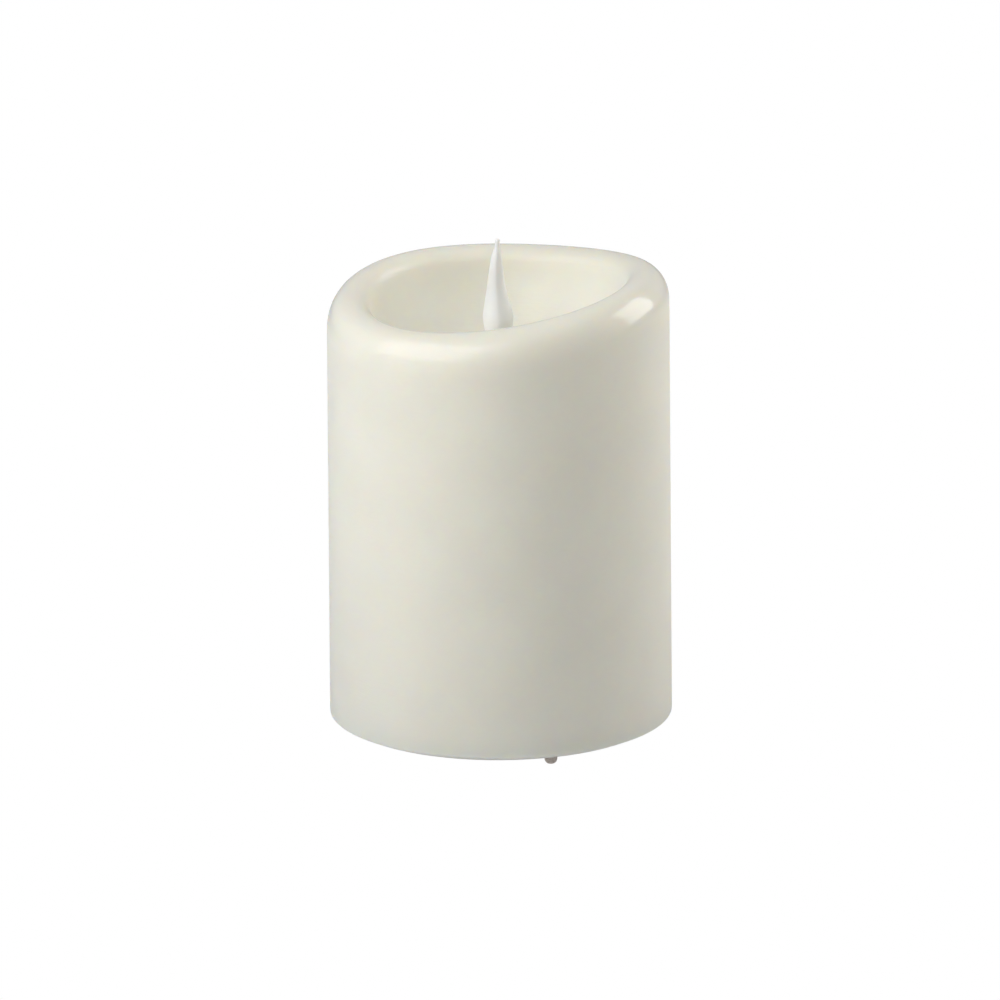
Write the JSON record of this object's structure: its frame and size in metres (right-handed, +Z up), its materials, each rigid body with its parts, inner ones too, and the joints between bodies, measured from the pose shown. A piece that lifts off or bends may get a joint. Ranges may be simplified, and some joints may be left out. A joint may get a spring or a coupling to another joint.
{
  "type": "flameless led candle",
  "caption": "Battery candle: cream wax pillar with a wavy rolled rim and a bowl, white drop-shaped flame cap over an LED, slide switch and battery cover below.",
  "frame": {"origin": "on the resting plane under the feet, on the pillar's axis", "axes": "+Z up along the pillar's axis, -Y to the front, +X to the side where the rim is highest"},
  "size_m": [0.075, 0.075, 0.1103],
  "materials": {
    "wax": "cream paraffin wax, glossy where the rim was fire-polished",
    "flame": "soft translucent white",
    "lens": "clear warm epoxy",
    "housing": "fine moulded texture",
    "foot": "matte elastomer",
    "steel": "zinc plated",
    "contact": "nickel plated spring steel",
    "cell": "glossy plain jacket",
    "laminate": "green solder mask",
    "black_plastic": "satin",
    "resistor": "lacquered",
    "capacitor": "shrunk sleeve",
    "red_wire": "wire insulation",
    "black_wire": "wire insulation"
  },
  "bodies": {
    "candle": {"wax_shell": "wax", "flame_cap": "flame", "flame_led": "lens", "led_holder": "housing", "led_leg_1": "contact", "led_leg_2": "contact", "led_sleeve_1": "black_plastic", "led_sleeve_2": "black_plastic", "led_wire_red": "red_wire", "led_wire_black": "black_wire", "base_plate": "housing", "foot_1": "foot", "foot_2": "foot", "foot_3": "foot", "housing_lid": "housing", "lid_screw_1": "steel", "lid_screw_2": "steel", "lid_screw_3": "steel", "lid_screw_4": "steel", "board_screw_1": "steel", "board_screw_2": "steel", "battery_1": "cell", "battery_2": "cell", "contact_positive": "contact", "contact_negative": "contact", "contact_bridge": "contact", "battery_wire_red": "red_wire", "battery_wire_black": "black_wire", "circuit_board": "laminate", "controller_chip": "black_plastic", "timer_crystal": "contact", "capacitor": "capacitor", "transistor": "black_plastic", "resistor_1": "resistor", "resistor_2": "resistor", "switch_body": "steel"},
    "cover": {"battery_cover": "housing"},
    "switch": {"switch_knob": "black_plastic"}
  },
  "joints": [
    {"name": "battery_cover_open", "type": "hinge", "parent": "candle", "child": "cover", "pos_m": [0, -0.0156, 0.0025], "axis": [-1, 0, 0], "range_deg": [0, 75]},
    {"name": "switch_slide", "type": "slide", "parent": "candle", "child": "switch", "axis": [1, 0, 0], "range_m": [-0.002, 0.002]}
  ]
}
